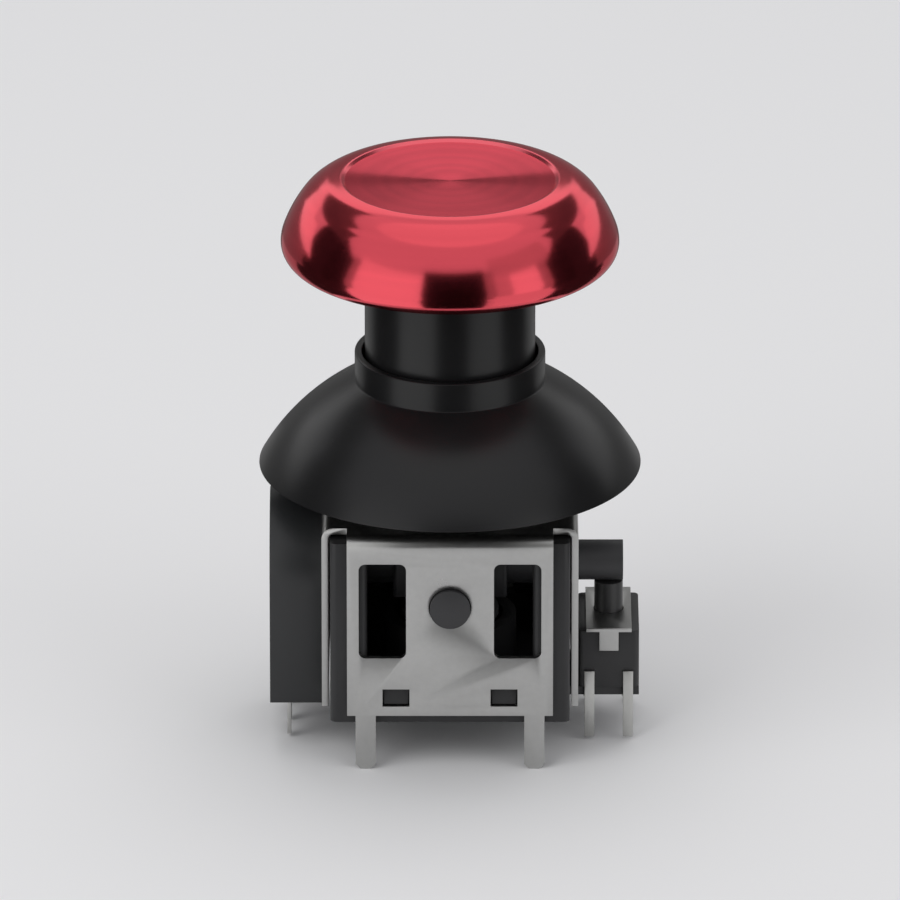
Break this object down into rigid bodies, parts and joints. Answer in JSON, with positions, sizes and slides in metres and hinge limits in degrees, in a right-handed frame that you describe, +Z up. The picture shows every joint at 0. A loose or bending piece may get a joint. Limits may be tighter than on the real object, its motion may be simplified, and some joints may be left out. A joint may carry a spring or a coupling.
{
  "type": "controller analog stick",
  "caption": "Analog stick of a game controller: a domed red metal thumb cap on a black stem, plugged into a ball-shaped base on a two-axis joystick module with a push switch.",
  "frame": {"origin": "on the face of the lower housing that seats on the circuit board, under the stick's axis", "axes": "+Z up along the stick; -Y the side that faces the player; the side potentiometer stands at -X, the rear one at +Y and the push switch at +X"},
  "size_m": [0.0228, 0.0228, 0.0347],
  "materials": {
    "cap_metal": "anodised, turned",
    "stem_black": "satin",
    "base_black": "satin",
    "magnet_nickel": "plated",
    "lever_plastic": "moulded",
    "rocker_plastic": "moulded",
    "cup_plastic": "moulded",
    "spring_steel": "drawn wire",
    "housing_plastic": "moulded",
    "shield_steel": "plated sheet",
    "pot_plastic": "moulded",
    "resistor_board": "laminate",
    "rotor_plastic": "moulded",
    "contact_brass": "stamped",
    "terminal_tin": "tinned",
    "switch_plastic": "moulded",
    "button_plastic": "moulded"
  },
  "bodies": {
    "module": {"return_spring": "spring_steel", "lower_housing": "housing_plastic", "shield_frame": "shield_steel", "switch_case": "switch_plastic", "switch_cover": "shield_steel", "snap_dome": "spring_steel", "switch_terminals": "terminal_tin", "side_pot_case": "pot_plastic", "side_pot_board": "resistor_board", "side_pot_terminals": "terminal_tin", "rear_pot_case": "pot_plastic", "rear_pot_board": "resistor_board", "rear_pot_terminals": "terminal_tin"},
    "press_group": {"switch_plunger": "button_plastic", "spring_cup": "cup_plastic"},
    "bar": {"bar_rocker": "rocker_plastic"},
    "stick": {"lever": "lever_plastic", "ball_base": "base_black", "base_magnet": "magnet_nickel"},
    "head": {"thumb_cap": "cap_metal", "stem_sleeve": "stem_black", "head_magnet": "magnet_nickel"},
    "arch": {"arch_rocker": "rocker_plastic", "rear_pot_rotor": "rotor_plastic", "rear_pot_wiper": "contact_brass"},
    "side_rotor": {"side_pot_rotor": "rotor_plastic", "side_pot_wiper": "contact_brass"}
  },
  "joints": [
    {"name": "click", "type": "slide", "parent": "module", "child": "press_group", "axis": [0, 0, -1], "range_m": [0, 0.0004], "stiffness_N_per_m": 600, "springref_m": -0.003, "deforming": ["return_spring", "snap_dome"]},
    {"name": "tilt_forward", "type": "hinge", "parent": "press_group", "child": "bar", "pos_m": [0, 0, 0.0075], "axis": [-1, 0, 0], "range_deg": [-20, 20], "stiffness_Nm_per_rad": 0.02},
    {"name": "tilt_side", "type": "hinge", "parent": "bar", "child": "stick", "pos_m": [0, 0, 0.0075], "axis": [0, 1, 0], "range_deg": [-20, 20], "stiffness_Nm_per_rad": 0.02},
    {"name": "head_pull", "type": "slide", "parent": "stick", "child": "head", "axis": [0, 0, 1], "range_m": [0, 0.008]},
    {"name": "arch_turn", "type": "hinge", "parent": "module", "child": "arch", "pos_m": [0, 0, 0.0075], "axis": [0, 1, 0], "range_deg": [-20, 20]},
    {"name": "side_rotor_turn", "type": "hinge", "parent": "module", "child": "side_rotor", "pos_m": [0, 0, 0.0075], "axis": [-1, 0, 0], "range_deg": [-20, 20]}
  ],
  "couplings": [
    {"joint": "arch_turn", "follows": "tilt_side", "ratio": 1},
    {"joint": "side_rotor_turn", "follows": "tilt_forward", "ratio": 1}
  ]
}
